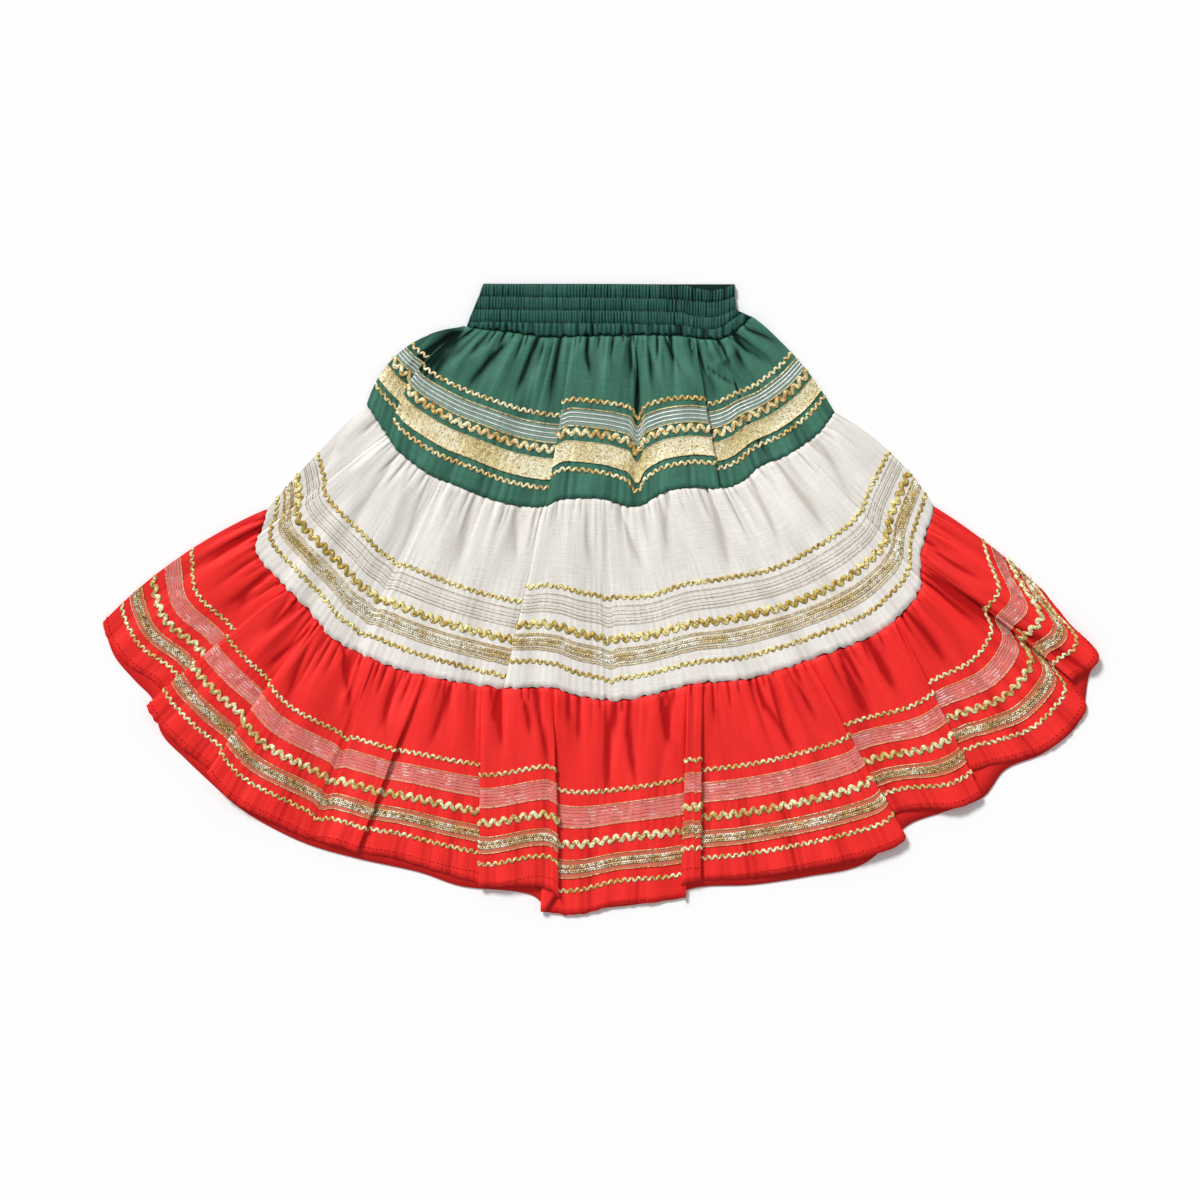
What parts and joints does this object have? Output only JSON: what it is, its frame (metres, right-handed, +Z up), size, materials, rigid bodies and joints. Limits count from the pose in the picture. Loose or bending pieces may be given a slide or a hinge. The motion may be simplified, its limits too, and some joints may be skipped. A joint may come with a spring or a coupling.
{
  "type": "tiered skirt",
  "caption": "Tiered folklore skirt laid flat, with an elastic shirred waist, green, white and red gathered tiers and rows of gold ric-rac, sheer ribbon and metallic trim.",
  "frame": {"origin": "on the surface it lies on, under the middle of the outline", "axes": "+X to the right as seen from above with the waist at the top, +Y towards the waist, +Z up out of the front"},
  "size_m": [0.7157, 0.4534, 0.0086],
  "materials": {
    "green_satin": "soft satin sheen, fine plain weave, shirred at the waist",
    "white_cotton": "matte fine plain weave, slightly sheer",
    "red_cotton": "soft low sheen, fine plain weave, narrow stitched hem",
    "gold_ricrac": "braided metallic gold thread, wavy",
    "sheer_ribbon": "sheer organza crossed lengthwise by silver and gold metallic lines",
    "gold_glitter": "pale gold glitter weave",
    "metallic_braid": "sheer band with gold edges and a sparkling gold and silver middle"
  },
  "bodies": {
    "root": {"waistband_front": "green_satin", "waistband_back": "green_satin", "green_tier_front": "green_satin", "green_tier_back": "green_satin", "green_upper_ricrac": "gold_ricrac", "green_sheer_ribbon": "sheer_ribbon", "green_middle_ricrac": "gold_ricrac", "green_glitter_ribbon": "gold_glitter", "green_lower_ricrac": "gold_ricrac", "white_tier_front": "white_cotton", "white_tier_back": "white_cotton", "white_upper_ricrac": "gold_ricrac", "white_sheer_ribbon": "sheer_ribbon", "white_middle_ricrac": "gold_ricrac", "white_metallic_braid": "metallic_braid", "white_lower_ricrac": "gold_ricrac", "red_tier_front": "red_cotton", "red_tier_back": "red_cotton", "red_upper_ricrac": "gold_ricrac", "red_sheer_ribbon": "sheer_ribbon", "red_middle_ricrac": "gold_ricrac", "red_metallic_braid": "metallic_braid", "red_lower_ricrac": "gold_ricrac"}
  },
  "joints": []
}
